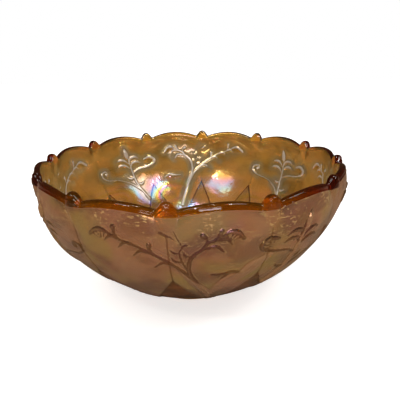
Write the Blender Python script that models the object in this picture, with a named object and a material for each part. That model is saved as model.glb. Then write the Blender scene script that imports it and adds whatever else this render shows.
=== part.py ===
"""Pressed glass bowl: collar foot, curved wall, twelve scallops and twelve rim knobs.

One solid, turned from a foot-to-rim section whose radius and height vary around the bowl.
Metres, +Z up. The origin is the centre of the foot's underside, and a knob stands over -Y.
"""
import math

import bmesh
import bpy

# Overall size
HEIGHT = 0.0987                # foot's underside to the knob tips
SCALLOPS = 12                  # as many knobs as scallops, a knob between each two

# Collar foot
FOOT_HEIGHT = 0.0028           # a low collar, up to where the wall leaves it
FOOT_RADIUS = 0.0390
FOOT_CHAMFER = 0.0008
FOOT_RING_WIDTH = 0.0040       # flat ring that the bowl rests on
RECESS_DEPTH = 0.0030          # hollow inside that ring

# Outer line of the wall, as the four control points (radius, height) of one Bezier curve. Its
# lowest stretch would run on inside the foot, so the wall starts a little way along it.
WALL_CURVE = (
    (0.0276, -0.0023),
    (0.1032, 0.0262),
    (0.1156, 0.0830),
    (0.1081, HEIGHT),
)
WALL_START = 0.0566            # place on that curve where the wall leaves the foot
WALL_THICKNESS = 0.0052
FLOOR_THICKNESS = 0.0068       # where the wall meets the foot
EVEN_HEIGHT = 0.0355           # above this the wall has its even thickness

# Rim
RIM_CROWN = 0.0025             # height of the rounded edge
RIM_SQUARENESS = 2.6           # 2 is a half ellipse, more is flatter on top
KNOB_HALF_WIDTH = 0.0061       # knob centre to the notch beside it
KNOB_FULLNESS = 1.45           # more is a wider, flatter dome
NOTCH_DROP = 0.0045            # notch below the knob tips
SCALLOP_DROP = 0.0007          # top of a scallop below the knob tips
SCALLOP_REACH = 0.0300         # how far down the wall the rim's outline is felt

# Plan of the wall
PINCH = 0.0024                 # how far the wall draws in at the notches, at the rim
PINCH_FADE = 1.4               # how fast that dies away towards the foot
RIB_SWELL = 0.0024             # how far a knob and its rib stand out between their notches
RIB_FOOT = 0.0755              # height where the rib has died out
RIB_TAPER = 0.12               # rib's width there, as a share of the knob's
INNER_SHARE = 0.5              # how much of that drawing in the inner face follows

# Fineness
KNOB_STEPS = (0.0, 0.42, 0.78, 1.0)
SCALLOP_STEPS = (0.22, 0.58, 1.0)
WALL_ROWS = 10
CROWN_ROWS = 4
SMOOTH_ANGLE = math.radians(50)

# Marigold glass
GLASS_COLOUR = (0.42, 0.19, 0.055, 1.0)
GLASS_ROUGHNESS = 0.12
GLASS_ALPHA = 0.55

PITCH = 2 * math.pi / SCALLOPS
RIM_RADIUS = WALL_CURVE[3][0]
HALF_SCALLOP = PITCH / 2 * RIM_RADIUS
FIRST_KNOB = -math.pi / 2
CROWN_START = 1 - RIM_CROWN / (3 * (HEIGHT - WALL_CURVE[2][1]))    # place on the wall curve


def clear_scene():
    """Remove every object of the start-up scene."""
    for thing in list(bpy.data.objects):
        bpy.data.objects.remove(thing, do_unlink=True)


def smooth_step(value):
    """Ease from 0 to 1 while value goes from 0 to 1."""
    value = min(max(value, 0.0), 1.0)
    return value * value * (3 - 2 * value)


def wall_point(along):
    """Point (radius, height) of the outer wall line, along its Bezier curve from 0 to 1."""
    back = 1 - along
    weights = (back ** 3, 3 * back ** 2 * along, 3 * back * along ** 2, along ** 3)
    radius = sum(weight * point[0] for weight, point in zip(weights, WALL_CURVE))
    height = sum(weight * point[1] for weight, point in zip(weights, WALL_CURVE))
    return radius, height


def wall_normal(along):
    """Outward unit normal (radius, height) of the wall line."""
    step = 1e-4
    low = wall_point(max(along - step, 0.0))
    high = wall_point(min(along + step, 1.0))
    rise = high[1] - low[1]
    run = high[0] - low[0]
    length = math.hypot(run, rise)
    return rise / length, -run / length


def thickness(height):
    """Glass thickness, from the thick floor to the even upper wall."""
    even = smooth_step((height - FOOT_HEIGHT) / (EVEN_HEIGHT - FOOT_HEIGHT))
    return FLOOR_THICKNESS + (WALL_THICKNESS - FLOOR_THICKNESS) * even


def column_offsets():
    """Distances from a knob's centre line, measured along the rim, to the next knob."""
    half = [step * KNOB_HALF_WIDTH for step in KNOB_STEPS]
    half += [KNOB_HALF_WIDTH + step * (HALF_SCALLOP - KNOB_HALF_WIDTH) for step in SCALLOP_STEPS]
    mirrored = [2 * HALF_SCALLOP - offset for offset in reversed(half[1:-1])]
    return half + mirrored


def rim_drop(offset):
    """Height of the rim's outline below the knob tips."""
    if offset < KNOB_HALF_WIDTH:
        return NOTCH_DROP * smooth_step((offset / KNOB_HALF_WIDTH) ** KNOB_FULLNESS)
    across = (offset - KNOB_HALF_WIDTH) / (HALF_SCALLOP - KNOB_HALF_WIDTH)
    return SCALLOP_DROP + (NOTCH_DROP - SCALLOP_DROP) * (1 - across) ** 2


def half_rib(height):
    """Half the width of a knob's rib, which narrows downwards, and how far the rib has risen."""
    risen = smooth_step((height - RIB_FOOT) / (HEIGHT - RIB_FOOT))
    return KNOB_HALF_WIDTH * (RIB_TAPER + (1 - RIB_TAPER) * risen), risen


def draw_in(offset, height):
    """How far the wall draws in towards the notch lines, between the scallops."""
    half = half_rib(height)[0]
    across = max(offset - half, 0.0) / (HALF_SCALLOP - half)
    return PINCH * (height / HEIGHT) ** PINCH_FADE * (1 - math.sin(math.pi / 2 * across))


def rib_swell(offset, height):
    """How far a knob and its rib stand out of the outer face."""
    half, risen = half_rib(height)
    return RIB_SWELL * risen * max(1 - (offset / half) ** 2, 0.0)


def lowered(height, offset):
    """Height of a wall point once the rim's outline has pulled it down."""
    felt = smooth_step(1 - (HEIGHT - height) / SCALLOP_REACH)
    return height - rim_drop(offset) * felt


def foot_rows():
    """Foot section, from the middle of the underside out and up to the wall."""
    ring_inside = FOOT_RADIUS - FOOT_CHAMFER - FOOT_RING_WIDTH
    return [
        (ring_inside - RECESS_DEPTH, RECESS_DEPTH),
        (ring_inside, 0.0),
        (FOOT_RADIUS - FOOT_CHAMFER, 0.0),
        (FOOT_RADIUS, FOOT_CHAMFER),
        (FOOT_RADIUS, FOOT_HEIGHT - FOOT_CHAMFER),
    ]


def outer_point(along, offset):
    """Point of the outer face."""
    radius, height = wall_point(along)
    shift = rib_swell(offset, height) - draw_in(offset, height)
    return radius + shift, lowered(height, offset)


def inner_point(along, offset):
    """Point of the inner face."""
    radius, height = wall_point(along)
    out, up = wall_normal(along)
    depth = thickness(height)
    shift = INNER_SHARE * draw_in(offset, height)
    return radius - shift - out * depth, lowered(height - up * depth, offset)


def crown_point(turn, offset):
    """Point of the rounded rim edge: turn is 0 at the outer face and pi at the inner one."""
    outer = outer_point(CROWN_START, offset)
    inner = inner_point(CROWN_START, offset)
    outward = math.copysign(abs(math.cos(turn)) ** (2 / RIM_SQUARENESS), math.cos(turn))
    upward = math.sin(turn) ** (2 / RIM_SQUARENESS)
    radius = (outer[0] + inner[0]) / 2 + outward * (outer[0] - inner[0]) / 2
    base = (outer[1] + inner[1]) / 2 + outward * (outer[1] - inner[1]) / 2
    top = HEIGHT - rim_drop(offset)
    return radius, base + upward * (top - base)


def section(offset):
    """Whole section at one distance from a knob, from the foot's recess to the floor's middle."""
    step = (CROWN_START - WALL_START) / WALL_ROWS
    places = [WALL_START + step * row for row in range(WALL_ROWS + 1)]
    rows = foot_rows()
    rows += [outer_point(place, offset) for place in places]
    rows += [crown_point(math.pi * row / CROWN_ROWS, offset) for row in range(1, CROWN_ROWS)]
    rows += [inner_point(place, offset) for place in reversed(places)]
    return rows


def ring_points():
    """Sections for every column around the bowl, as lists of (x, y, z)."""
    columns = []
    for knob in range(SCALLOPS):
        for offset in column_offsets():
            angle = FIRST_KNOB + knob * PITCH + offset / RIM_RADIUS
            near = min(offset, 2 * HALF_SCALLOP - offset)
            turned = [(radius * math.cos(angle), radius * math.sin(angle), height)
                      for radius, height in section(near)]
            columns.append(turned)
    return columns


def bowl_mesh():
    """Closed mesh of the bowl, its faces pointing out."""
    mesh = bmesh.new()
    columns = [[mesh.verts.new(point) for point in column] for column in ring_points()]
    for here, following in zip(columns, columns[1:] + columns[:1]):
        for row in range(len(here) - 1):
            mesh.faces.new((here[row], following[row], following[row + 1], here[row + 1]))
    mesh.faces.new([column[0] for column in reversed(columns)])
    mesh.faces.new([column[-1] for column in columns])
    bmesh.ops.recalc_face_normals(mesh, faces=mesh.faces)
    data = bpy.data.meshes.new("bowl")
    mesh.to_mesh(data)
    mesh.free()
    return data


def glass_material():
    """Amber glass with a soft gloss."""
    material = bpy.data.materials.new("marigold_glass")
    material.use_nodes = True
    shader = material.node_tree.nodes["Principled BSDF"]
    shader.inputs["Base Color"].default_value = GLASS_COLOUR
    shader.inputs["Roughness"].default_value = GLASS_ROUGHNESS
    shader.inputs["Metallic"].default_value = 0.0
    shader.inputs["Alpha"].default_value = GLASS_ALPHA
    return material


def make_bowl():
    """The bowl's object, standing on the ground at the origin."""
    bowl = bpy.data.objects.new("bowl", bowl_mesh())
    bpy.context.collection.objects.link(bowl)
    bowl.data.materials.append(glass_material())
    bowl.data.shade_smooth()
    bowl.data.set_sharp_from_angle(angle=SMOOTH_ANGLE)
    return bowl


clear_scene()
make_bowl()
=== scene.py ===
"""Looks for the pressed carnival glass bowl: its fine mesh with raised sprays, lustre and studio.

The bowl is one closed mesh. It is laid out on a cylinder whose angle is the bowl's angle and whose
height runs through the section, from the middle of the underside out, up the outer wall, over the
rim, down the inner wall and in to the middle of the floor. Cells near raised work are divided more
finely, and then every vertex is carried to its real place by the same formulas as the CAD solid.
"""
import math

import bmesh
import bpy
import numpy as np
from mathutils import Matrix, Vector


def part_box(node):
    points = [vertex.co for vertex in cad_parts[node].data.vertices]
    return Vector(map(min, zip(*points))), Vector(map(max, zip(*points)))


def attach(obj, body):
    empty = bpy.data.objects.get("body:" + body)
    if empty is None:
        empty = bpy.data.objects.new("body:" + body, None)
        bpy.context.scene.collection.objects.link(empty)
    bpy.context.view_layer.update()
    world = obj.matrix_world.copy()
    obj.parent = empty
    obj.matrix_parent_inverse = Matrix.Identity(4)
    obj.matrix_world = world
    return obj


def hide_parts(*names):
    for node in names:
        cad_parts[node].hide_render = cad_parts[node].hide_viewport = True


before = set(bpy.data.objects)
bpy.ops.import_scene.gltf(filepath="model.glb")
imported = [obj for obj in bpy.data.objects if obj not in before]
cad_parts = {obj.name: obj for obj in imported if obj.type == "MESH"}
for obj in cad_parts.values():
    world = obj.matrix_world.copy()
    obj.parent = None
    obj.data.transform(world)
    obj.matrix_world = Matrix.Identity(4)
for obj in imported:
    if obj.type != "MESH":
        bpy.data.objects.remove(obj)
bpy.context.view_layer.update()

MM = 0.001
BOWL_NODE = "bowl"

# Overall shape, as the CAD solid has it: see there what each value is
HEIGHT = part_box(BOWL_NODE)[1][2]
SCALLOPS = 12
FOOT_HEIGHT = 2.8 * MM
FOOT_RADIUS = 39.0 * MM
FOOT_CHAMFER = 0.8 * MM
FOOT_RING_WIDTH = 4.0 * MM
RECESS_DEPTH = 3.0 * MM
WALL_CURVE = (
    (27.6 * MM, -2.3 * MM),
    (103.2 * MM, 26.2 * MM),
    (115.6 * MM, 83.0 * MM),
    (108.1 * MM, HEIGHT),
)
WALL_START = 0.0566
WALL_THICKNESS = 5.2 * MM
FLOOR_THICKNESS = 6.8 * MM
EVEN_HEIGHT = 35.5 * MM
RIM_CROWN = 2.5 * MM
RIM_SQUARENESS = 2.6
KNOB_HALF_WIDTH = 6.1 * MM
KNOB_FULLNESS = 1.45
NOTCH_DROP = 4.5 * MM
SCALLOP_DROP = 0.7 * MM
SCALLOP_REACH = 30.0 * MM
PINCH = 2.4 * MM
PINCH_FADE = 1.4
RIB_SWELL = 2.4 * MM
RIB_FOOT = 75.5 * MM
RIB_TAPER = 0.12
INNER_SHARE = 0.5
PITCH = 2 * math.pi / SCALLOPS
RIM_RADIUS = WALL_CURVE[3][0]
HALF_SCALLOP = PITCH / 2 * RIM_RADIUS
FIRST_KNOB = -math.pi / 2
CROWN_START = 1 - RIM_CROWN / (3 * (HEIGHT - WALL_CURVE[2][1]))

# Soft corner between the floor and the inner wall, which the CAD solid leaves out
FLOOR_SLOPE = 0.38            # slope that it evens out, a little less than the inner wall's own
FLOOR_FILLET = 8.0 * MM

# The five stretches of the section, as the whole numbers where each one starts
UNDERSIDE, OUTSIDE, CROWN, INSIDE, FLOOR = range(5)

# Raised work: four sprays stand round the bowl, and each is drawn in degrees from its middle and
# in shares of the outer wall's line, which starts inside the foot at 0 and reaches the rim at 1
SPRAYS = 4
SPRAY_TURN = 360 / SPRAYS
SPRAY_REACH = 56.0            # degrees from a spray's middle within which strokes are looked for
OUTER_RELIEF = 1.15 * MM      # full height of a stroke on the outside, and below on the inside
INNER_RELIEF = 1.1 * MM
INNER_SHARPNESS = 1.5         # more makes the inside's strokes narrower than the outside's
SWELL_REACH = 6.5 * MM        # soft swelling of the glass beside a stroke
SWELL_HEIGHT = 0.28 * MM
RELIEF_FADE = 0.015           # share of the wall over which raised work dies out at rim and foot
FULL_HALF_WIDTH = 1.5         # mm, half width of a stroke that has the full height
TALLEST = 1.1                 # most that still wider ones have, as a share of the full height
RIDGE_ROUNDNESS = 0.75        # less is a flatter ridge with steeper flanks
CURVE_STEPS = 5               # straight pieces between two points of a stroke

# Each stroke: its points (degrees, share of the wall) and its half widths in mm, which are spread
# evenly along it
STEMS = (
    (((13.0, 0.44), (9.8, 0.55), (5.0, 0.675), (-0.5, 0.752), (-8.2, 0.826), (-13.2, 0.853),
      (-16.0, 0.874)), (1.25, 0.95, 0.70)),
    (((8.6, 0.59), (5.9, 0.68), (5.7, 0.74), (6.9, 0.785), (9.6, 0.820), (10.8, 0.846)),
     (1.3, 1.05)),
    (((10.6, 0.848), (13.4, 0.863), (14.6, 0.896)), (0.8, 1.25)),
    (((5.8, 0.690), (3.8, 0.755), (3.2, 0.803), (4.0, 0.836), (2.0, 0.903)), (0.65, 0.45)),
    (((35.0, 0.510), (38.6, 0.600), (40.4, 0.680), (41.0, 0.760), (41.8, 0.838)), (1.3, 0.8)),
    (((40.4, 0.722), (37.0, 0.744), (33.5, 0.752), (30.6, 0.760)), (0.7, 1.0)),
    (((37.8, 0.580), (42.5, 0.640), (47.5, 0.678), (52.0, 0.696), (56.6, 0.708), (59.6, 0.736),
      (59.4, 0.766), (56.8, 0.774), (55.8, 0.752)), (1.0, 0.7, 0.8, 1.0, 0.8)),
    (((40.9, 0.768), (39.8, 0.796), (37.0, 0.803), (34.8, 0.786)), (0.6, 1.5, 0.5)),
    (((41.3, 0.796), (40.6, 0.832), (37.6, 0.842), (35.2, 0.822)), (0.6, 1.5, 0.5)),
    (((41.0, 0.750), (43.8, 0.782), (46.8, 0.790), (49.0, 0.776)), (0.6, 1.4, 0.5)),
    (((41.4, 0.786), (44.0, 0.822), (46.6, 0.830), (48.6, 0.818)), (0.6, 1.4, 0.5)),
)

# Curled leaves: the arch's points, its half widths, and the point that its teeth lean towards
CURLS = (
    (((-15.8, 0.872), (-18.2, 0.889), (-20.4, 0.885), (-22.8, 0.860)), (0.7, 1.5, 1.2),
     (-18.6, 0.835)),
    (((14.6, 0.868), (17.0, 0.890), (19.3, 0.884), (20.9, 0.854)), (0.7, 1.5, 1.0),
     (16.6, 0.842)),
    (((12.4, 0.672), (16.6, 0.672), (19.0, 0.681), (22.4, 0.660)), (0.7, 1.3, 0.9),
     (14.6, 0.612)),
    (((30.6, 0.760), (27.6, 0.778), (27.0, 0.806), (29.2, 0.826), (32.6, 0.820)), (0.8, 1.5, 1.2),
     (31.6, 0.786)),
)
CURL_TEETH = 4
TOOTH_SHARE = 0.70            # length of a tooth, as a share of the way to where it leans
TOOTH_WIDTHS = (0.60, 0.35)
CURL_TIP = 0.5                # how much of a tooth's spacing is left free at the curl's tip

# Leaflets: root (degrees, share), tip, how far they bow (share of their length) and half widths
HOOF = (0.45, 0.85, 1.40)
SICKLE = (0.50, 1.25, 0.85, 0.35)
SPRIG = (0.40, 0.85, 0.45)
LEAFLETS = (
    ((-13.4, 0.858), (-14.4, 0.908), 0.12, HOOF),
    ((-4.0, 0.792), (-5.0, 0.842), 0.12, HOOF),
    ((10.9, 0.850), (9.5, 0.884), -0.15, HOOF),
    ((-12.6, 0.850), (-18.2, 0.836), -0.30, SICKLE),
    ((-8.2, 0.826), (-14.2, 0.811), -0.30, SICKLE),
    ((-4.2, 0.792), (-10.1, 0.778), -0.28, SICKLE),
    ((1.4, 0.730), (-4.7, 0.716), -0.26, SICKLE),
    ((13.3, 0.856), (17.7, 0.829), 0.30, SICKLE),
    ((10.0, 0.818), (15.7, 0.794), 0.30, SICKLE),
    ((6.6, 0.780), (4.2, 0.808), 0.24, SPRIG),
    ((4.0, 0.834), (5.6, 0.842), 0.10, SPRIG),
    ((3.3, 0.800), (0.6, 0.812), 0.20, SPRIG),
    ((3.9, 0.752), (0.7, 0.776), 0.20, SPRIG),
    ((1.8, 0.866), (-2.2, 0.898), 0.10, SPRIG),
    ((40.5, 0.690), (44.8, 0.706), -0.24, SICKLE),
    ((39.4, 0.640), (34.8, 0.664), 0.24, SICKLE),
)

# Buds: foot, tip and greatest half width
BUDS = (
    ((41.9, 0.832), (43.4, 0.922), 2.1),
    ((56.8, 0.748), (57.4, 0.760), 1.2),
)
BUD_STEPS = 6
BUD_TIP = 0.3                 # mm, half width at the ends
BUD_FULLNESS = 0.65           # less puts the widest place nearer to the foot

# Broad blades that lie low over the wall: points and half widths
BLADES = (
    (((13.2, 0.440), (11.2, 0.520), (7.4, 0.600), (2.6, 0.700)), (1.2, 3.2, 2.8, 0.5)),
    (((13.5, 0.470), (19.0, 0.580), (25.6, 0.680), (31.0, 0.738)), (1.2, 3.0, 6.0, 2.2)),
    (((13.0, 0.460), (15.2, 0.560), (18.2, 0.638), (21.6, 0.662)), (1.0, 2.6, 3.0, 0.8)),
    (((35.0, 0.510), (38.6, 0.600), (40.4, 0.680), (41.0, 0.760), (41.8, 0.838)), (2.6, 0.9)),
    (((41.8, 0.830), (42.8, 0.876), (43.6, 0.926)), (0.8, 2.5, 0.4)),
)
BLADE_HEIGHT = 0.60 * MM

# Clear amber hollows under the curled leaves, seen from inside, which keep the painted sheen off:
# points and half widths
HOLLOWS = (
    (((-16.4, 0.860), (-19.0, 0.868), (-21.6, 0.856)), (0.8, 2.4, 0.8)),
    (((15.0, 0.858), (17.6, 0.868), (20.2, 0.854)), (0.8, 2.4, 0.8)),
    (((13.0, 0.655), (17.0, 0.660), (21.4, 0.655)), (0.8, 2.2, 0.8)),
    (((28.6, 0.796), (30.6, 0.800), (33.2, 0.796)), (1.0, 2.6, 0.8)),
    (((-8.0, 0.800), (-11.0, 0.806), (-14.4, 0.800)), (0.6, 1.8, 0.6)),
    (((-1.0, 0.706), (-3.0, 0.710), (-6.0, 0.704)), (0.6, 1.8, 0.6)),
    (((10.8, 0.790), (13.2, 0.796), (16.2, 0.784)), (0.6, 1.8, 0.6)),
    (((48.0, 0.660), (51.0, 0.676), (54.6, 0.684)), (0.8, 2.6, 0.8)),
)

# Twelve-pointed star pressed into the underside, one point below each knob, and the creases that
# run from its points to the knobs
STAR_TIP = 0.615              # share of the wall where a point ends
STAR_VALLEY = 0.250           # and where two points meet
STAR_DEPTH = 0.55 * MM
STAR_EDGE = 0.9 * MM
STAR_REACH = 5.0 * MM         # widest distance from the star's outline that the mesh records
CREASE_DEPTH = 0.30 * MM
CREASE_HALF_WIDTH = 0.8 * MM
CREASE_TOP = 0.905
CREASE_FADE = 0.06

# Glossy band of the rim, a little proud of the satin wall
BAND_DEPTH = 1.0 * MM         # how far it reaches below the rounded edge
BAND_STEP = 0.30 * MM         # how far it stands proud
CROWN_GLOSS = 0.45            # share of the rounded edge, from outside, that is glossy
KNOB_GLOSS = 0.8              # how much of a knob's height below its tip is glossy as well

# Fineness
SCALLOP_COLUMNS = 7           # base columns from a notch to the middle of its scallop
KNOB_COLUMNS = 3              # and from a knob's middle to its notch
OUTER_ROWS = 42
INNER_ROWS = 33
CROWN_ROWS = 10
BAND_ROWS = 6
FLOOR_ROWS = 4
ARC_STEPS = 800               # straight pieces over which the wall's length is measured
COARSE_REACHES = (1.5 * MM, 1.4 * MM)    # cells this near a stroke, outside and inside, are divided
FINE_REACHES = (0.45 * MM, 0.3 * MM)     # and these once more
EDGE_REACH = 1.2 * MM         # the same for a blade's edge or a crease
POLE_RADIUS = 1.0 * MM        # end discs in the middle of the underside and of the floor
MOST_CORNERS = 8              # a cell with more corners is an end disc
LEVEL_GAP = 1e-5              # an edge whose ends differ by less than this runs round the bowl


def smooth_step(value):
    """Ease from 0 to 1 while value goes from 0 to 1."""
    value = np.clip(value, 0.0, 1.0)
    return value * value * (3 - 2 * value)


def wall_point(place):
    """Radius and height of the outer wall line at a place on its Bezier curve."""
    back = 1 - place
    weights = (back ** 3, 3 * back ** 2 * place, 3 * back * place ** 2, place ** 3)
    radius = sum(weight * point[0] for weight, point in zip(weights, WALL_CURVE))
    height = sum(weight * point[1] for weight, point in zip(weights, WALL_CURVE))
    return radius, height


def wall_normal(place):
    """Outward unit normal (radius, height) of the wall line."""
    step = 1e-4
    low = wall_point(np.maximum(place - step, 0.0))
    high = wall_point(np.minimum(place + step, 1.0))
    run = high[0] - low[0]
    rise = high[1] - low[1]
    length = np.hypot(run, rise)
    return rise / length, -run / length


def arc_table():
    """Places on the wall curve, the share of its length that lies below each, and its length."""
    places = np.linspace(0.0, 1.0, ARC_STEPS + 1)
    radius, height = wall_point(places)
    pieces = np.hypot(np.diff(radius), np.diff(height))
    length = np.concatenate(([0.0], np.cumsum(pieces)))
    return places, length / length[-1], length[-1]


PLACES, SHARES, WALL_LENGTH = arc_table()
START_SHARE = float(np.interp(WALL_START, PLACES, SHARES))
CROWN_SHARE = float(np.interp(CROWN_START, PLACES, SHARES))


def place_of(share):
    """Place on the Bezier curve at a share of the wall's length."""
    return np.interp(share, SHARES, PLACES)


def thickness(height):
    """Glass thickness, from the thick floor to the even upper wall."""
    even = smooth_step((height - FOOT_HEIGHT) / (EVEN_HEIGHT - FOOT_HEIGHT))
    return FLOOR_THICKNESS + (WALL_THICKNESS - FLOOR_THICKNESS) * even


def knob_offset(angle):
    """Distance from the nearest knob's middle line, measured along the rim."""
    turn = np.mod(angle - FIRST_KNOB, PITCH)
    return np.minimum(turn, PITCH - turn) * RIM_RADIUS


def rim_drop(offset):
    """Height of the rim's outline below the knob tips."""
    reached = np.minimum(offset, KNOB_HALF_WIDTH) / KNOB_HALF_WIDTH
    knob = NOTCH_DROP * smooth_step(reached ** KNOB_FULLNESS)
    across = np.clip((offset - KNOB_HALF_WIDTH) / (HALF_SCALLOP - KNOB_HALF_WIDTH), 0.0, 1.0)
    scallop = SCALLOP_DROP + (NOTCH_DROP - SCALLOP_DROP) * (1 - across) ** 2
    return np.where(offset < KNOB_HALF_WIDTH, knob, scallop)


def half_rib(height):
    """Half the width of a knob's rib, which narrows downwards, and how far the rib has risen."""
    risen = smooth_step((height - RIB_FOOT) / (HEIGHT - RIB_FOOT))
    return KNOB_HALF_WIDTH * (RIB_TAPER + (1 - RIB_TAPER) * risen), risen


def draw_in(offset, height):
    """How far the wall draws in towards the notch lines, between the scallops."""
    half = half_rib(height)[0]
    across = np.maximum(offset - half, 0.0) / (HALF_SCALLOP - half)
    return PINCH * (height / HEIGHT) ** PINCH_FADE * (1 - np.sin(math.pi / 2 * across))


def rib_swell(offset, height):
    """How far a knob and its rib stand out of the outer face."""
    half, risen = half_rib(height)
    return RIB_SWELL * risen * np.maximum(1 - (offset / half) ** 2, 0.0)


def lowered(height, offset):
    """Height of a wall point once the rim's outline has pulled it down."""
    felt = smooth_step(1 - (HEIGHT - height) / SCALLOP_REACH)
    return height - rim_drop(offset) * felt


def outer_point(place, offset):
    """Radius and height on the outer face."""
    radius, height = wall_point(place)
    shift = rib_swell(offset, height) - draw_in(offset, height)
    return radius + shift, lowered(height, offset)


def inner_point(place, offset):
    """Radius and height on the inner face."""
    radius, height = wall_point(place)
    out, up = wall_normal(place)
    depth = thickness(height)
    shift = INNER_SHARE * draw_in(offset, height)
    return radius - shift - out * depth, lowered(height - up * depth, offset)


def crown_point(turn, offset):
    """Radius and height on the rounded rim: turn is 0 at the outer face and pi at the inner."""
    outer = outer_point(CROWN_START, offset)
    inner = inner_point(CROWN_START, offset)
    outward = np.copysign(np.abs(np.cos(turn)) ** (2 / RIM_SQUARENESS), np.cos(turn))
    upward = np.abs(np.sin(turn)) ** (2 / RIM_SQUARENESS)
    radius = (outer[0] + inner[0]) / 2 + outward * (outer[0] - inner[0]) / 2
    base = (outer[1] + inner[1]) / 2 + outward * (outer[1] - inner[1]) / 2
    top = HEIGHT - rim_drop(offset)
    return radius, base + upward * (top - base)


def foot_line():
    """Underside and foot as (radius, height) points, from the middle out and up to the wall."""
    ring_inside = FOOT_RADIUS - FOOT_CHAMFER - FOOT_RING_WIDTH
    soft = FOOT_CHAMFER / 2
    corner = FOOT_CHAMFER * (1 - math.sqrt(0.5))
    return np.array((
        (POLE_RADIUS, RECESS_DEPTH),
        (ring_inside / 2, RECESS_DEPTH),
        (ring_inside - RECESS_DEPTH - soft, RECESS_DEPTH),
        (ring_inside - RECESS_DEPTH + soft, RECESS_DEPTH - soft),
        (ring_inside - soft, soft),
        (ring_inside + soft, 0.0),
        (FOOT_RADIUS - FOOT_CHAMFER, 0.0),
        (FOOT_RADIUS - corner, corner),
        (FOOT_RADIUS, FOOT_CHAMFER),
        (FOOT_RADIUS, FOOT_HEIGHT - FOOT_CHAMFER),
        wall_point(WALL_START),
    ))


FOOT_LINE = foot_line()


def catmull_rom(points, steps):
    """Smooth line through the points, with that many straight pieces between two of them."""
    points = np.array(points, dtype=float)
    padded = np.vstack((2 * points[0] - points[1], points, 2 * points[-1] - points[-2]))
    line = [points[0]]
    for start in range(len(points) - 1):
        before, here, following, after = padded[start:start + 4]
        for step in range(1, steps + 1):
            t = step / steps
            line.append(0.5 * (2 * here + (following - before) * t
                               + (2 * before - 5 * here + 4 * following - after) * t ** 2
                               + (3 * here - before - 3 * following + after) * t ** 3))
    return np.array(line)


def spread(values, count):
    """That many values, read evenly along the given ones."""
    return np.interp(np.linspace(0, 1, count), np.linspace(0, 1, len(values)), values)


def line_stroke(points, half_widths):
    """Rows (degrees, share, half width) of a smooth stroke."""
    line = catmull_rom(points, CURVE_STEPS)
    return np.column_stack((line, spread(half_widths, len(line))))


def bowed(root, tip, bow):
    """Three points from root to tip, the middle one moved sideways by that share of the length."""
    degree = math.radians(1) * RIM_RADIUS / WALL_LENGTH
    along = ((tip[0] - root[0]) * degree, tip[1] - root[1])
    middle = ((root[0] + tip[0]) / 2 - bow * along[1] / degree,
              (root[1] + tip[1]) / 2 + bow * along[0])
    return root, middle, tip


def curl_strokes(points, half_widths, lean):
    """A curled leaf: its arch, and the teeth that hang inside it."""
    arch = line_stroke(points, half_widths)
    strokes = [arch]
    for tooth in range(CURL_TEETH):
        start = arch[round((tooth + 1) * (len(arch) - 1) / (CURL_TEETH + CURL_TIP))][:2]
        end = start + TOOTH_SHARE * (np.array(lean) - start)
        strokes.append(line_stroke((start, end), TOOTH_WIDTHS))
    return strokes


def bud_stroke(foot, tip, half_width):
    """A closed bud, widest a third of the way up."""
    way = np.linspace(0, 1, BUD_STEPS)
    line = np.outer(1 - way, foot) + np.outer(way, tip)
    widths = half_width * np.sin(math.pi * way ** BUD_FULLNESS) + BUD_TIP
    return np.column_stack((line, widths))


def spray_strokes():
    """Every fine stroke of a spray."""
    strokes = [line_stroke(points, widths) for points, widths in STEMS]
    for points, widths, lean in CURLS:
        strokes += curl_strokes(points, widths, lean)
    strokes += [line_stroke(bowed(root, tip, bow), widths) for root, tip, bow, widths in LEAFLETS]
    strokes += [bud_stroke(*bud) for bud in BUDS]
    return strokes


def on_wall(degrees, share):
    """Points in space on the plain outer wall, degrees being counted from a spray's middle."""
    radius, height = wall_point(place_of(share))
    angle = np.radians(degrees)
    return np.column_stack((radius * np.cos(angle), radius * np.sin(angle), height))


def stroke_pieces(strokes):
    """Straight pieces of the strokes and of the neighbouring sprays' ones, with half widths."""
    starts, ends, start_widths, end_widths = [], [], [], []
    for stroke in strokes:
        for turn in (-SPRAY_TURN, 0.0, SPRAY_TURN):
            degrees = stroke[:, 0] + turn
            if np.abs(degrees).min() > SPRAY_REACH:
                continue
            points = on_wall(degrees, stroke[:, 1])
            starts.append(points[:-1])
            ends.append(points[1:])
            start_widths.append(stroke[:-1, 2] * MM)
            end_widths.append(stroke[1:, 2] * MM)
    return (np.vstack(starts), np.vstack(ends),
            np.concatenate(start_widths), np.concatenate(end_widths))


FINE_PIECES = stroke_pieces(spray_strokes())
BLADE_PIECES = stroke_pieces([line_stroke(*blade) for blade in BLADES])
HOLLOW_PIECES = stroke_pieces([line_stroke(*hollow) for hollow in HOLLOWS])


def stroke_profile(points, pieces):
    """Per point: the strokes' height (1 for a full-width one) and the distance to their edges."""
    height = np.zeros(len(points))
    clearance = np.full(len(points), WALL_LENGTH)
    for start, end, start_width, end_width in zip(*pieces):
        along = end - start
        reached = np.clip((points - start) @ along / (along @ along), 0.0, 1.0)
        distance = np.linalg.norm(points - start - reached[:, None] * along, axis=1)
        half_width = start_width + (end_width - start_width) * reached
        clearance = np.minimum(clearance, distance - half_width)
        ridge = np.maximum(1 - (distance / half_width) ** 2, 0.0) ** RIDGE_ROUNDNESS
        full = np.minimum(half_width / (FULL_HALF_WIDTH * MM), TALLEST)
        height = np.maximum(height, ridge * full)
    return height, clearance


def star_line(offset):
    """Share of the wall where the star's outline runs, at a distance from a knob line."""
    return STAR_TIP - (STAR_TIP - STAR_VALLEY) * offset / HALF_SCALLOP


def fold(angle):
    """Degrees from the middle of the nearest spray."""
    degrees = np.degrees(angle - FIRST_KNOB)
    return np.mod(degrees + SPRAY_TURN / 2, SPRAY_TURN) - SPRAY_TURN / 2


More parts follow.
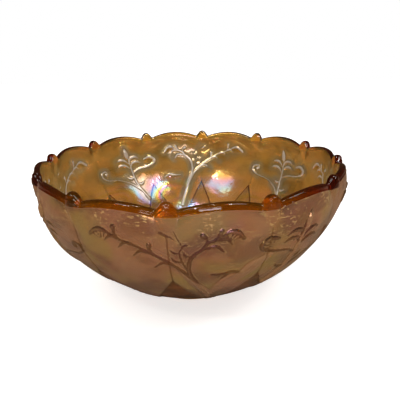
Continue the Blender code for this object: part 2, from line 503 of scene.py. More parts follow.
def wall_work(angle, share):
    """Raised and sunken work of the wall at each point, as a table of named arrays."""
    points = on_wall(fold(angle), share)
    height, clearance = stroke_profile(points, FINE_PIECES)
    blade, blade_clearance = stroke_profile(points, BLADE_PIECES)
    hollow = stroke_profile(points, HOLLOW_PIECES)[0]
    offset = knob_offset(angle)
    radius = wall_point(place_of(share))[0]
    sideways = offset / RIM_RADIUS * radius
    below_star = (star_line(offset) - share) * WALL_LENGTH
    star = smooth_step(below_star / STAR_EDGE + 0.5)
    fade = (smooth_step((share - STAR_TIP + CREASE_FADE) / CREASE_FADE)
            * smooth_step((CREASE_TOP - share) / CREASE_FADE))
    crease = np.maximum(1 - sideways / CREASE_HALF_WIDTH, 0.0) * fade
    swell = smooth_step(1 - np.maximum(clearance, 0.0) / SWELL_REACH)
    return {"height": height, "clearance": clearance, "blade": blade, "crease": crease,
            "blade_clearance": blade_clearance, "star": star, "swell": swell, "hollow": hollow,
            "below_star": below_star, "sideways": sideways}


def column_angles():
    """Angles of the base columns, which line up with the knobs and their notches."""
    knob_half = np.linspace(0, KNOB_HALF_WIDTH, KNOB_COLUMNS + 1)
    scallop_half = np.linspace(KNOB_HALF_WIDTH, HALF_SCALLOP, SCALLOP_COLUMNS + 1)
    half = np.concatenate((knob_half, scallop_half[1:]))
    whole = np.concatenate((half, 2 * HALF_SCALLOP - half[-2:0:-1]))
    return np.concatenate([FIRST_KNOB + knob * PITCH + whole / RIM_RADIUS
                           for knob in range(SCALLOPS)])


def section_rows():
    """Places of the base rows along the whole section."""
    band = BAND_DEPTH / ((CROWN_SHARE - START_SHARE) * WALL_LENGTH)
    foot = UNDERSIDE + np.arange(len(FOOT_LINE) - 1) / (len(FOOT_LINE) - 1)
    outer = OUTSIDE + np.linspace(0, 1 - 2 * band, OUTER_ROWS, endpoint=False)
    edge = OUTSIDE + np.linspace(1 - 2 * band, 1, BAND_ROWS, endpoint=False)
    crown = CROWN + np.linspace(0, 1, CROWN_ROWS, endpoint=False)
    inner = INSIDE + np.linspace(0, 1, INNER_ROWS, endpoint=False)
    floor = FLOOR + np.linspace(0, 1, FLOOR_ROWS + 1)
    return np.concatenate((foot, outer, edge, crown, inner, floor))


def layout_mesh():
    """The base cells on the layout cylinder, closed by a disc at each end."""
    mesh = bmesh.new()
    rings = []
    for row in section_rows():
        rings.append([mesh.verts.new((math.cos(angle), math.sin(angle), row))
                      for angle in column_angles()])
    for low, high in zip(rings, rings[1:]):
        for column in range(len(low)):
            following = (column + 1) % len(low)
            mesh.faces.new((low[column], low[following], high[following], high[column]))
    mesh.faces.new(list(reversed(rings[0])))
    mesh.faces.new(rings[-1])
    mesh.verts.index_update()
    return mesh


def layout_places(mesh):
    """Angle and section place of every vertex of the layout."""
    points = np.array([vertex.co[:] for vertex in mesh.verts])
    return np.arctan2(points[:, 1], points[:, 0]), points[:, 2]


def wall_share(section):
    """Share of the wall's length at a section place, on the outer or the inner face."""
    outer = np.clip(section - OUTSIDE, 0.0, 1.0)
    inner = np.clip(section - INSIDE, 0.0, 1.0)
    climbed = np.where(section < CROWN, outer, 1 - inner)
    return START_SHARE + (CROWN_SHARE - START_SHARE) * climbed


def near_work(angle, section, stroke_reach, edge_reach, star_reach):
    """Which vertices lie near a stroke, a blade's edge, a crease or the star's outline."""
    share = wall_share(section)
    work = wall_work(angle, share)
    outside = (section > OUTSIDE) & (section < CROWN)
    inside = (section > INSIDE) & (section < FLOOR)
    near = work["clearance"] < np.where(section < CROWN, stroke_reach[0], stroke_reach[1])
    edges = np.abs(work["blade_clearance"]) < edge_reach
    edges |= (work["sideways"] < edge_reach) & (share > STAR_TIP - CREASE_FADE)
    edges |= np.abs(work["below_star"]) < star_reach
    return (near & (outside | inside)) | (edges & outside)


def cell_edges(cell, near, crown, at_knob):
    """The edges of a cell to divide: all of them, the rim's level ones over a knob, or none."""
    if len(cell.verts) > MOST_CORNERS:
        return []
    corners = [vertex.index for vertex in cell.verts]
    if near[corners].any():
        return list(cell.edges)
    if crown[corners].all() and at_knob[corners].any():
        return [edge for edge in cell.edges
                if abs(edge.verts[0].co.z - edge.verts[1].co.z) < LEVEL_GAP]
    return []


def refine(mesh, stroke_reach, edge_reach, star_reach, knob_reach):
    """Divide the cells near raised or sunken work, below the knobs, and over the knobs' tops."""
    angle, section = layout_places(mesh)
    at_knob = knob_offset(angle) < knob_reach
    crown = (section >= CROWN) & (section <= INSIDE)
    top = (wall_share(section) > CROWN_SHARE - knob_reach / WALL_LENGTH) & (section < FLOOR)
    near = near_work(angle, section, stroke_reach, edge_reach, star_reach)
    near |= at_knob & top & ~crown
    edges = [edge for cell in mesh.faces for edge in cell_edges(cell, near, crown, at_knob)]
    once = list(dict.fromkeys(edges))
    bmesh.ops.subdivide_edges(mesh, edges=once, cuts=1, use_grid_fill=True)
    mesh.verts.index_update()


def plain_surface(angle, section):
    """Radius, height and outward normal (radius, height) of the bowl without its raised work."""
    offset = knob_offset(angle)
    share = wall_share(section)
    place = place_of(share)
    count = len(FOOT_LINE) - 1
    foot_place = np.clip(section - UNDERSIDE, 0.0, 1.0) * count
    foot_radius = np.interp(foot_place, np.arange(count + 1), FOOT_LINE[:, 0])
    foot_height = np.interp(foot_place, np.arange(count + 1), FOOT_LINE[:, 1])
    outer = outer_point(place, offset)
    inner = inner_point(place, offset)
    crown = crown_point(math.pi * np.clip(section - CROWN, 0.0, 1.0), offset)
    floor_edge = inner_point(WALL_START, offset)
    inward = np.clip(section - FLOOR, 0.0, 1.0)
    floor_radius = floor_edge[0] + (POLE_RADIUS - floor_edge[0]) * inward
    stage = [section < OUTSIDE, section < CROWN, section < INSIDE, section < FLOOR]
    radius = np.select(stage, (foot_radius, outer[0], crown[0], inner[0]), floor_radius)
    height = np.select(stage, (foot_height, outer[1], crown[1], inner[1]), floor_edge[1])
    corner = np.maximum(FLOOR_FILLET - np.abs(radius - floor_edge[0]), 0.0)
    fillet = FLOOR_SLOPE * corner ** 2 / (4 * FLOOR_FILLET)
    height = height + np.where(section >= INSIDE, fillet, 0.0)
    return radius, height, wall_normal(place)


def glossy_gap(angle, section, rim_gap):
    """Distance below the rim's edge, less at the knobs and more round the edge's inner half."""
    offset = knob_offset(angle)
    under_knob = np.where(offset < KNOB_HALF_WIDTH, NOTCH_DROP - rim_drop(offset), 0.0)
    turned = np.clip(section - CROWN, 0.0, 1.0)
    past_gloss = smooth_step((turned - CROWN_GLOSS) / (1 - CROWN_GLOSS))
    outside = (section > OUTSIDE) & (section < CROWN)
    return np.where(outside, rim_gap - KNOB_GLOSS * under_knob,
                    rim_gap + 2 * BAND_DEPTH * past_gloss)


def relief(section, work, fade, rim_gap, band_gap):
    """How far each point moves out from the plain face."""
    outside = (section > OUTSIDE) & (section < CROWN)
    inside = (section > INSIDE) & (section < FLOOR)
    swell = SWELL_HEIGHT * work["swell"] * (1 - work["star"])
    raised = work["height"] * OUTER_RELIEF + work["blade"] * BLADE_HEIGHT + swell
    sunk = work["star"] * STAR_DEPTH + work["crease"] * CREASE_DEPTH
    band = BAND_STEP * smooth_step((BAND_DEPTH - band_gap) / BAND_STEP + 0.5)
    outer_move = (raised - sunk) * fade + band * smooth_step(rim_gap / BAND_DEPTH)
    inner_move = -(work["height"] ** INNER_SHARPNESS * INNER_RELIEF + swell) * fade
    return np.where(outside, outer_move, 0.0) + np.where(inside, inner_move, 0.0)


def bowl_surface(angle, section):
    """Points of the finished bowl, and the marks that its material reads."""
    radius, height, normal = plain_surface(angle, section)
    share = wall_share(section)
    work = wall_work(angle, share)
    rim_gap = (CROWN_SHARE - share) * WALL_LENGTH
    band_gap = glossy_gap(angle, section, rim_gap)
    fade = (smooth_step((CROWN_SHARE - share) / RELIEF_FADE)
            * smooth_step((share - START_SHARE) / RELIEF_FADE))
    move = relief(section, work, fade, rim_gap, band_gap)
    radius = radius + normal[0] * move
    height = height + normal[1] * move
    points = np.column_stack((radius * np.cos(angle), radius * np.sin(angle), height))
    marks = {
        "stroke": work["height"] * fade,
        "swell": work["swell"] * fade,
        "blade": work["blade"] * fade,
        "hollow": work["hollow"] * fade,
        "crease": work["crease"] * fade,
        "star": np.clip(work["below_star"] / STAR_REACH, -1.0, 1.0),
        "rim_gap": np.where(section > OUTSIDE, band_gap, WALL_LENGTH) / MM,
        "inside": np.clip(section - CROWN, 0.0, 1.0),
    }
    return points, marks


def make_bowl():
    """The bowl's object."""
    mesh = layout_mesh()
    refine(mesh, COARSE_REACHES, EDGE_REACH, STAR_EDGE, 2 * KNOB_HALF_WIDTH)
    refine(mesh, FINE_REACHES, EDGE_REACH / 2, 0.0, KNOB_HALF_WIDTH)
    angle, section = layout_places(mesh)
    points, marks = bowl_surface(angle, section)
    data = bpy.data.meshes.new("carnival_bowl")
    bmesh.ops.recalc_face_normals(mesh, faces=mesh.faces)
    mesh.to_mesh(data)
    mesh.free()
    data.vertices.foreach_set("co", points.ravel())
    for name, values in marks.items():
        data.attributes.new(name, "FLOAT", "POINT").data.foreach_set("value", values)
    data.update()
    data.shade_smooth()
    bowl = bpy.data.objects.new("carnival_bowl", data)
    bpy.context.collection.objects.link(bowl)
    return bowl


# Colours of the glass and its lustre, and of the painted shade and painted highlights laid over
# them
PINK_TAN = (0.51, 0.275, 0.165, 1.0)
OLIVE_GOLD = (0.46, 0.35, 0.13, 1.0)
MAUVE_BROWN = (0.20, 0.115, 0.090, 1.0)
# pale gold of painted highlights: the strokes' glints, the specks below the rim and the upper veins
GLINT_GOLD = (1.0, 0.74, 0.32, 1.0)
BLADE_TAN = (0.66, 0.38, 0.22, 1.0)
DEEP_BROWN = (0.17, 0.07, 0.015, 1.0)
FOOT_AMBER = (0.50, 0.26, 0.01, 1.0)
# painted shade that darkens the raised strokes outside
STROKE_SHADE_BROWN = (0.040, 0.028, 0.022, 1.0)
STAR_BROWN = (0.08, 0.026, 0.004, 1.0)
STAR_RED = (0.28, 0.09, 0.02, 1.0)
# painted shade drawn as dark lines along the star, the creases and the blades
LINE_SHADE_BROWN = (0.05, 0.016, 0.004, 1.0)
GOLD = (0.82, 0.68, 0.17, 1.0)
AMBER = (0.86, 0.64, 0.13, 1.0)
DARK_OLIVE = (0.38, 0.34, 0.05, 1.0)
# silvery mauve of the painted sheen round the strokes inside
SHEEN_SILVER_MAUVE = (0.54, 0.47, 0.28, 1.0)
# near-white painted highlight of the strokes inside
STROKE_HIGHLIGHT = (0.92, 0.88, 0.76, 1.0)
RIM_AMBER = (0.50, 0.24, 0.006, 1.0)
# painted shade: deeper ruby for the rim at the left and right, where it is seen edge-on
RIM_SIDE_SHADE = (0.26, 0.022, 0.001, 1.0)

# Patches of soft noise: waves per metre, and the noise values between which a patch fades in, with
# the strengths at these where they aren't 0 and 1
OLIVE_PATCHES = {"scale": 28.0, "fade": (0.42, 0.60)}
MAUVE_WISPS = {"scale": 44.0, "detail": 4.0, "stretch": 1.6, "fade": (0.44, 0.60, 0.0, 0.65)}
# specks of painted gold highlight, and the crowds they gather in below the rim
GLINT_SPECKS = {"scale": 420.0, "detail": 1.0, "stretch": 2.2, "fade": (0.58, 0.64)}
GLINT_CROWDS = {"scale": 55.0, "detail": 1.0, "shift": (0.6, 0.3, 0.9), "fade": (0.45, 0.60)}
EMBERS = {"scale": 120.0, "fade": (0.4, 0.65)}
AMBER_PATCHES = {"scale": 22.0, "shift": (0.3, 0.1, 0.2), "fade": (0.4, 0.62)}
OLIVE_SHADE = {"scale": 30.0, "shift": (0.2, 0.9, 0.5), "fade": (0.50, 0.64, 0.0, 0.8)}
# patches in which the inside's painted sheen lies
SHEEN_CLOUDS = {"scale": 45.0, "shift": (0.8, 0.4, 0.1), "fade": (0.35, 0.62, 0.45, 1.0)}
NOISE_LIFT = 11.5 * MM         # where the patches lie, up or down the bowl

# Heights over which a look changes, with its strengths there where they aren't 0 and 1
# heights over which the strokes' painted shade grows stronger upwards
STROKE_HEIGHTS = (23.5 * MM, 43.5 * MM)
DEEP_HEIGHTS = (-5.5 * MM, 33.5 * MM, 0.95, 0.0)
AMBER_HEIGHTS = (3.0 * MM, 6.0 * MM, 1.0, 0.0)
# heights over which the veins take on a painted gold highlight
VEIN_HEIGHTS = (54.5 * MM, 68.5 * MM)
RAINBOW_HEIGHTS = (38.5 * MM, 60.5 * MM, 1.0, 0.0)
# painted shade deepens the rim to ruby over this distance to the left or right
RIM_SHADE_SIDES = (45.0 * MM, 85.0 * MM)      # distance to the left or right over which the rim reddens

# Values of the mesh's marks over which a look changes, given in the same way
BAND_SOFTNESS = 0.25                     # mm over which the satin gives way to the glossy rim
# where a stroke's painted shade comes in on its flanks and eases off on its ridge
STROKE_FLANK = (0.03, 0.22)
STROKE_RIDGE = (0.55, 0.95, 1.0, 0.45)
# where a stroke inside takes its painted highlight
STROKE_HIGHLIGHTING = (0.22, 0.55)
# where the thin painted gold highlight lies at a stroke's very edge
GLINT_START = (0.0, 0.02)
GLINT_END = (0.02, 0.10, 0.45, 0.0)
BLADE_FLANK = (0.0, 0.25)
# where painted shade outlines a blade
BLADE_OUTLINE = (0.15, 0.45, 1.0, 0.0)
VEIN_WAVES = 26.0                        # how closely the veins of a blade lie
VEIN_CREST = (0.2, 1.0, 0.0, 0.45)
STAR_STEP = (-0.08, 0.08)
# where painted shade draws dark lines: the star's edge outside and inside, and the creases
STAR_OUTLINE = (0.10, 0.26, 1.0, 0.0)
INNER_OUTLINE = (0.14, 0.36, 1.0, 0.0)
CREASE_LINE = (0.1, 0.7, 0.0, 0.7)
HOLLOW_CLEARING = (0.1, 0.5, 1.0, 0.1)
GLINT_REACH = (3.0, 24.0, 1.0, 0.2)      # mm below the rim

# How strongly each look covers what is under it
# strength of the strokes' painted shade, low and high on the wall
LOW_STROKE = 0.35
HIGH_STROKE = 0.76
STROKE_ON_BLADE = 0.15
BLADE_COVER = 0.75
STAR_COVER = 0.92
# strength of the painted shade lines, outside and inside
LINE_COVER = 0.8
INNER_LINE_COVER = 0.9
RAINBOW_ON_STROKE = 0.2

# Surface: roughness, metallic shine and clearness of the outside, the inside and the rim
OUTER_ROUGHNESS = 0.20
INNER_ROUGHNESS = 0.15
RIM_ROUGHNESS = 0.05
OUTER_SHINE = 0.25
INNER_SHINE = 0.1
# metallic shine and clearness where the inside's painted sheen lies
SHEEN_SHINE = 0.4
STROKE_SHINE = 0.35
OUTER_CLEARNESS = 0.6
INNER_CLEARNESS = 0.85
SHEEN_CLEARNESS = 0.45
STROKE_CLEARNESS = 0.25
RIM_CLEARNESS = 0.95
GLASS_IOR = 1.52
FILM_IOR = 2.2
WARM_FILM = {"scale": 30.0, "detail": 3.0, "fade": (0.35, 0.65, 92.0, 116.0)}    # nanometres
RAINBOW_FILM = {"scale": 20.0, "detail": 1.0, "shift": (0.5, 0.2, 0.7),
                "fade": (0.3, 0.7, 120.0, 480.0)}
WAVE_SCALE = 90.0
WAVE_DETAIL = 3.0
WAVE_HEIGHT = 0.3 * MM
ABSORPTION_COLOUR = (0.86, 0.50, 0.13, 1.0)
ABSORPTION_DENSITY = 230.0


class Nodes:
    """A short way to write one material's nodes."""

    def __init__(self, tree):
        self.tree = tree

    def add(self, kind, **settings):
        """A node of that kind with its settings."""
        node = self.tree.nodes.new("ShaderNode" + kind)
        for name, value in settings.items():
            setattr(node, name, value)
        return node

    def put(self, socket, value):
        """A link or a plain value into a socket."""
        if isinstance(value, bpy.types.NodeSocket):
            self.tree.links.new(value, socket)
        else:
            socket.default_value = value

    def mark(self, name):
        """One of the mesh's marks."""
        return self.add("Attribute", attribute_name=name).outputs["Fac"]

    def ramp(self, value, low, high, start=0.0, end=1.0):
        """Smooth change from start to end while value goes from low to high."""
        node = self.add("MapRange", interpolation_type="SMOOTHSTEP")
        for name, item in (("Value", value), ("From Min", low), ("From Max", high),
                           ("To Min", start), ("To Max", end)):
            self.put(node.inputs[name], item)
        return node.outputs["Result"]

    def ease(self, share, start, end):
        """Smooth change from start to end while share goes from 0 to 1."""
        return self.ramp(share, 0.0, 1.0, start, end)

    def math(self, operation, first, second=0.0):
        """A sum, product or the like of two numbers."""
        node = self.add("Math", operation=operation)
        self.put(node.inputs[0], first)
        self.put(node.inputs[1], second)
        return node.outputs[0]

    def times(self, first, second):
        """Product of two numbers."""
        return self.math("MULTIPLY", first, second)

    def mix(self, share, first, second):
        """Colour between first and second."""
        node = self.add("Mix", data_type="RGBA")      # its colours are inputs 6 and 7, output 2
        self.put(node.inputs[0], share)
        self.put(node.inputs[6], first)
        self.put(node.inputs[7], second)
        return node.outputs[2]

    def blend(self, share, first, second):
        """Number between first and second."""
        node = self.add("Mix", data_type="FLOAT")     # its numbers are inputs 2 and 3, output 0
        self.put(node.inputs[0], share)
        self.put(node.inputs[2], first)
        self.put(node.inputs[3], second)
        return node.outputs[0]

    def noise(self, scale, detail, shift=(0.0, 0.0, 0.0), stretch=1.0):
        """Soft noise in the bowl's own space, stretch being how much closer it lies upwards."""
        moved = self.add("Mapping")
        self.put(moved.inputs["Vector"], self.add("TexCoord").outputs["Object"])
        self.put(moved.inputs["Location"], (shift[0], shift[1], shift[2] + NOISE_LIFT * stretch))
        self.put(moved.inputs["Scale"], (1.0, 1.0, stretch))
        noise = self.add("TexNoise")
        self.put(noise.inputs["Vector"], moved.outputs["Vector"])
        self.put(noise.inputs["Scale"], scale)
        self.put(noise.inputs["Detail"], detail)
        return noise.outputs["Fac"]

    def patches(self, scale, fade, detail=2.0, shift=(0.0, 0.0, 0.0), stretch=1.0):
        """Soft patches that noise and a ramp make."""
        return self.ramp(self.noise(scale, detail, shift, stretch), *fade)


def shared_values(nodes):
    """Places and masks that several looks need, by name."""
    place = nodes.add("SeparateXYZ")
    nodes.put(place.inputs[0], nodes.add("TexCoord").outputs["Object"])
    edge = BAND_DEPTH / MM
    # painted sheen round the strokes inside, kept off the clear places under the curled leaves
    painted_sheen = nodes.times(nodes.ramp(nodes.mark("swell"), 0.0, 1.0),
                       nodes.ramp(nodes.mark("hollow"), *HOLLOW_CLEARING))
    return {
        "side": nodes.math("ABSOLUTE", place.outputs[0]),
        "height": place.outputs[2],
        "inside": nodes.mark("inside"),
        "satin": nodes.ramp(nodes.mark("rim_gap"), edge - BAND_SOFTNESS, edge + BAND_SOFTNESS),
        "star_gap": nodes.math("ABSOLUTE", nodes.mark("star")),
        "blade": nodes.ramp(nodes.mark("blade"), *BLADE_FLANK),
        # strokes inside that take a painted highlight
        "highlit_strokes": nodes.ramp(nodes.mark("stroke"), *STROKE_HIGHLIGHTING),
        "painted_sheen": nodes.times(painted_sheen, nodes.patches(**SHEEN_CLOUDS)),
    }


def outer_lustre(nodes, shared):
    """Patchy pink, olive and mauve lustre that darkens towards the foot."""
    colour = nodes.mix(nodes.patches(**OLIVE_PATCHES), PINK_TAN, OLIVE_GOLD)
    colour = nodes.mix(nodes.patches(**MAUVE_WISPS), colour, MAUVE_BROWN)
    return nodes.mix(nodes.ramp(shared["height"], *DEEP_HEIGHTS), colour, DEEP_BROWN)


def with_blades(nodes, shared, colour):
    """Lighter blades, whose veins are mauve low down and carry a painted gold highlight higher up.
    """
    colour = nodes.mix(nodes.times(shared["blade"], BLADE_COVER), colour, BLADE_TAN)
    waves = nodes.math("SINE", nodes.times(nodes.mark("blade"), VEIN_WAVES))
    veins = nodes.times(shared["blade"], nodes.ramp(waves, *VEIN_CREST))
    vein = nodes.mix(nodes.ramp(shared["height"], *VEIN_HEIGHTS), MAUVE_BROWN, GLINT_GOLD)
    return nodes.mix(veins, colour, vein)


def with_painted_glints(nodes, colour):
    """Specks of painted gold highlight that crowd below the rim."""
    crowds = nodes.times(nodes.ramp(nodes.mark("rim_gap"), *GLINT_REACH),
                         nodes.patches(**GLINT_CROWDS))
    return nodes.mix(nodes.times(nodes.patches(**GLINT_SPECKS), crowds), colour, GLINT_GOLD)


def with_strokes(nodes, shared, colour):
    """Strokes darkened by painted shade, less on their lighter ridges, and a thin painted gold
    highlight where they rise.
    """
    mark = nodes.mark("stroke")
    high = nodes.ramp(shared["height"], *STROKE_HEIGHTS)
    dark = nodes.times(nodes.ramp(mark, *STROKE_FLANK), nodes.ramp(mark, *STROKE_RIDGE))
    dark = nodes.times(dark, nodes.ease(high, LOW_STROKE, HIGH_STROKE))
    dark = nodes.times(dark, nodes.ease(shared["blade"], 1.0, STROKE_ON_BLADE))
    colour = nodes.mix(dark, colour, STROKE_SHADE_BROWN)
    glint = nodes.times(nodes.ramp(mark, *GLINT_START), nodes.ramp(mark, *GLINT_END))
    return nodes.mix(glint, colour, GLINT_GOLD)


def with_star(nodes, shared, colour):
    """Ember glass in the star, and painted shade as dark lines along the star, in the creases and
    along the blades.
    """
    star = nodes.ramp(nodes.mark("star"), *STAR_STEP)
    ember = nodes.mix(nodes.patches(**EMBERS), STAR_BROWN, STAR_RED)
    colour = nodes.mix(nodes.times(star, STAR_COVER), colour, ember)
    line = nodes.math("MAXIMUM", nodes.ramp(shared["star_gap"], *STAR_OUTLINE),
                      nodes.ramp(nodes.mark("crease"), *CREASE_LINE))
    blade_line = nodes.times(shared["blade"], nodes.ramp(nodes.mark("blade"), *BLADE_OUTLINE))
    line = nodes.math("MAXIMUM", line, blade_line)
    return nodes.mix(nodes.times(line, LINE_COVER), colour, LINE_SHADE_BROWN)


def outer_colour(nodes, shared):
    """Everything that is seen on the outside."""
    colour = outer_lustre(nodes, shared)
    colour = with_blades(nodes, shared, colour)
    colour = with_painted_glints(nodes, colour)
    colour = with_strokes(nodes, shared, colour)
    colour = with_star(nodes, shared, colour)
    return nodes.mix(nodes.ramp(shared["height"], *AMBER_HEIGHTS), colour, FOOT_AMBER)


def inner_colour(nodes, shared):
    """Gold and amber with olive shade, a painted silvery sheen round the strokes, painted
    near-white highlights on the strokes, and the star's outline in painted shade.
    """
    colour = nodes.mix(nodes.patches(**AMBER_PATCHES), GOLD, AMBER)
    colour = nodes.mix(nodes.patches(**OLIVE_SHADE), colour, DARK_OLIVE)
    colour = nodes.mix(shared["painted_sheen"], colour, SHEEN_SILVER_MAUVE)
    colour = nodes.mix(shared["highlit_strokes"], colour, STROKE_HIGHLIGHT)
    line = nodes.times(nodes.ramp(shared["star_gap"], *INNER_OUTLINE), INNER_LINE_COVER)
    return nodes.mix(line, colour, LINE_SHADE_BROWN)


def glass_colour(nodes, shared):
    """The lustre of both faces, and the rim's clear amber, which painted shade deepens to ruby at
    the left and right, where the thick rim is seen edge-on.
    """
    wall = nodes.mix(shared["inside"], outer_colour(nodes, shared), inner_colour(nodes, shared))
    rim = nodes.mix(nodes.ramp(shared["side"], *RIM_SHADE_SIDES), RIM_AMBER, RIM_SIDE_SHADE)
    return nodes.mix(shared["satin"], rim, wall)


def set_roughness(nodes, shader, shared):
    """Satin on both faces and gloss on the rim."""
    satin = nodes.blend(shared["inside"], OUTER_ROUGHNESS, INNER_ROUGHNESS)
    nodes.put(shader.inputs["Roughness"], nodes.blend(shared["satin"], RIM_ROUGHNESS, satin))


def set_shine(nodes, shader, shared):
    """Metallic share: strongest where the inside carries its painted sheen and on its strokes, and
    none on the rim.
    """
    inner = nodes.math("MAXIMUM", nodes.ease(shared["painted_sheen"], INNER_SHINE, SHEEN_SHINE),
                       nodes.times(shared["highlit_strokes"], STROKE_SHINE))
    wall = nodes.blend(shared["inside"], OUTER_SHINE, inner)
    nodes.put(shader.inputs["Metallic"], nodes.blend(shared["satin"], 0.0, wall))


def set_clearness(nodes, shader, shared):
    """How much light the glass lets through."""
    inner = nodes.ease(shared["painted_sheen"], INNER_CLEARNESS, SHEEN_CLEARNESS)
    inner = nodes.blend(shared["highlit_strokes"], inner, STROKE_CLEARNESS)
    wall = nodes.blend(shared["inside"], OUTER_CLEARNESS, inner)
    clear = nodes.blend(shared["satin"], RIM_CLEARNESS, wall)
    nodes.put(shader.inputs["Transmission Weight"], clear)


def set_film(nodes, shader, shared):
    """Thin film of the lustre: straw gold to rose, and rainbow colours low inside the bowl."""
    warm = nodes.patches(**WARM_FILM)
    low = nodes.times(nodes.ramp(shared["height"], *RAINBOW_HEIGHTS),
                      nodes.ease(shared["highlit_strokes"], 1.0, RAINBOW_ON_STROKE))
    inner = nodes.blend(low, warm, nodes.patches(**RAINBOW_FILM))
    film = nodes.blend(shared["inside"], warm, inner)
    nodes.put(shader.inputs["Thin Film Thickness"], nodes.times(film, shared["satin"]))
    shader.inputs["Thin Film IOR"].default_value = FILM_IOR


def set_waves(nodes, shader):
    """Faint waves of the pressed surface."""
    waves = nodes.add("Bump")
    waves.inputs["Distance"].default_value = WAVE_HEIGHT
    nodes.put(waves.inputs["Height"], nodes.noise(WAVE_SCALE, WAVE_DETAIL))
    nodes.put(shader.inputs["Normal"], waves.outputs["Normal"])


def set_depth(nodes, output):
    """Amber that deepens with the thickness of the glass."""
    absorption = nodes.add("VolumeAbsorption")
    absorption.inputs["Color"].default_value = ABSORPTION_COLOUR
    absorption.inputs["Density"].default_value = ABSORPTION_DENSITY
    nodes.put(output.inputs["Volume"], absorption.outputs[0])


def carnival_glass():
    """Amber pressed glass with a satin lustre on both faces and a clear glossy rim."""
    material = bpy.data.materials.new("carnival_glass")
    material.use_nodes = True
    nodes = Nodes(material.node_tree)
    shader = material.node_tree.nodes["Principled BSDF"]
    shader.inputs["IOR"].default_value = GLASS_IOR
    shared = shared_values(nodes)
    nodes.put(shader.inputs["Base Color"], glass_colour(nodes, shared))
    set_roughness(nodes, shader, shared)
    set_shine(nodes, shader, shared)
    set_clearness(nodes, shader, shared)
    set_film(nodes, shader, shared)
    set_waves(nodes, shader)
    set_depth(nodes, material.node_tree.nodes["Material Output"])
    return material


# Camera
CAMERA_PLACE = (0.03459, -0.29009, 0.16379)
CAMERA_TURN = (70.941, 0.95, 5.123)
LENS = 36.32
SENSOR = 36.0

# Studio: each soft light's heading and elevation as seen from the bowl, its distance, width,
# height and power
LIGHTS_AIM = (0.0, 0.0, 43.5 * MM)
SOFT_LIGHTS = (
    ("window", -88.0, 87.0, 1.1, 0.16, 0.16, 1.6),
    ("low", -80.0, 12.0, 1.3, 0.70, 0.12, 2.0),
    ("left", -125.0, 52.0, 1.1, 0.42, 0.36, 1.3),
    ("right", -24.0, 50.0, 1.1, 0.46, 0.42, 1.9),
    ("left_pane", -112.0, 46.0, 1.1, 0.08, 0.08, 0.7),
    ("right_pane", -40.0, 50.0, 1.1, 0.08, 0.08, 0.7),
)

# The room and the floor, as each kind of light ray meets them
WHITE = (1.0, 1.0, 1.0, 1.0)
BLACK = (0.0, 0.0, 0.0, 1.0)
ROOM_LIGHT = (0.70, 0.68, 0.64, 1.0)     # the room as a light
ROOM_GLOSS = (0.09, 0.05, 0.025, 1.0)    # in reflections
ROOM_BEHIND = (1.3, 1.3, 1.3, 1.0)       # and through the glass
FLOOR_PAINT = (0.9, 0.9, 0.9, 1.0)
FLOOR_GLOSS = (0.30, 0.20, 0.14, 1.0)    # the floor's paint in reflections
FLOOR_BEHIND = (0.8, 0.8, 0.8, 1.0)      # what it glows with, through the glass
FLOOR_SEEN = (0.6, 0.6, 0.6, 1.0)        # and straight to the camera
FLOOR_ROUGHNESS = 0.9
FLOOR_SIZE = 6.0


def make_camera():
    """Camera at the viewing angle of the reference."""
    data = bpy.data.cameras.new("camera")
    data.lens = LENS
    data.sensor_width = SENSOR
    camera = bpy.data.objects.new("camera", data)
    camera.location = CAMERA_PLACE
    camera.rotation_euler = [math.radians(turn) for turn in CAMERA_TURN]
    bpy.context.collection.objects.link(camera)
    bpy.context.scene.camera = camera


def by_ray(nodes, light, gloss, behind, camera):
    """Colour as a light, in reflections, through the glass and straight to the camera."""
    path = nodes.add("LightPath")
    look = nodes.mix(path.outputs["Is Glossy Ray"], light, gloss)
    look = nodes.mix(path.outputs["Is Transmission Ray"], look, behind)
    return nodes.mix(path.outputs["Is Camera Ray"], look, camera)


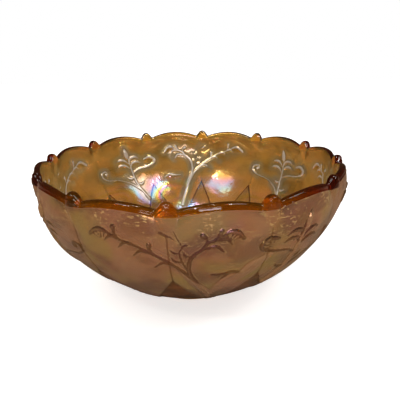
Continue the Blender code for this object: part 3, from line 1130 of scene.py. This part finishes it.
def floor_material():
    """Matt pale paint with a little glow of its own, so that it stays pale in the bowl's shade."""
    material = bpy.data.materials.new("pale_floor")
    material.use_nodes = True
    nodes = Nodes(material.node_tree)
    shader = material.node_tree.nodes["Principled BSDF"]
    shader.inputs["Roughness"].default_value = FLOOR_ROUGHNESS
    shader.inputs["Specular IOR Level"].default_value = 0.0
    shader.inputs["Emission Strength"].default_value = 1.0
    reflected = nodes.add("LightPath").outputs["Is Glossy Ray"]
    nodes.put(shader.inputs["Base Color"], nodes.mix(reflected, FLOOR_PAINT, FLOOR_GLOSS))
    glow = by_ray(nodes, BLACK, BLACK, FLOOR_BEHIND, FLOOR_SEEN)
    nodes.put(shader.inputs["Emission Color"], glow)
    return material


def make_floor():
    """Plain pale floor."""
    half = FLOOR_SIZE / 2
    mesh = bpy.data.meshes.new("floor")
    corners = [(-half, -half, 0), (half, -half, 0), (half, half, 0), (-half, half, 0)]
    mesh.from_pydata(corners, [], [(0, 1, 2, 3)])
    mesh.materials.append(floor_material())
    floor = bpy.data.objects.new("floor", mesh)
    bpy.context.collection.objects.link(floor)


def make_light(name, heading, elevation, distance, width, height, power):
    """One soft rectangular light that faces the bowl."""
    data = bpy.data.lights.new(name, "AREA")
    data.shape = "RECTANGLE"
    data.size = width
    data.size_y = height
    data.energy = power
    light = bpy.data.objects.new(name, data)
    turn = math.radians(heading)
    rise = math.radians(elevation)
    way = Vector((math.cos(turn) * math.cos(rise), math.sin(turn) * math.cos(rise),
                  math.sin(rise)))
    light.location = Vector(LIGHTS_AIM) + way * distance
    light.rotation_euler = way.to_track_quat("Z", "Y").to_euler()
    bpy.context.collection.objects.link(light)


def make_world():
    """White to the camera, and a dimmer room for everything else."""
    world = bpy.data.worlds.new("studio")
    bpy.context.scene.world = world
    world.use_nodes = True
    nodes = Nodes(world.node_tree)
    look = by_ray(nodes, ROOM_LIGHT, ROOM_GLOSS, ROOM_BEHIND, WHITE)
    nodes.put(world.node_tree.nodes["Background"].inputs["Color"], look)


make_camera()
make_floor()
for soft_light in SOFT_LIGHTS:
    make_light(*soft_light)
make_world()
bpy.context.scene.view_settings.view_transform = "Standard"
bowl = make_bowl()
bowl.data.materials.append(carnival_glass())
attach(bowl, "root")
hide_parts(BOWL_NODE)
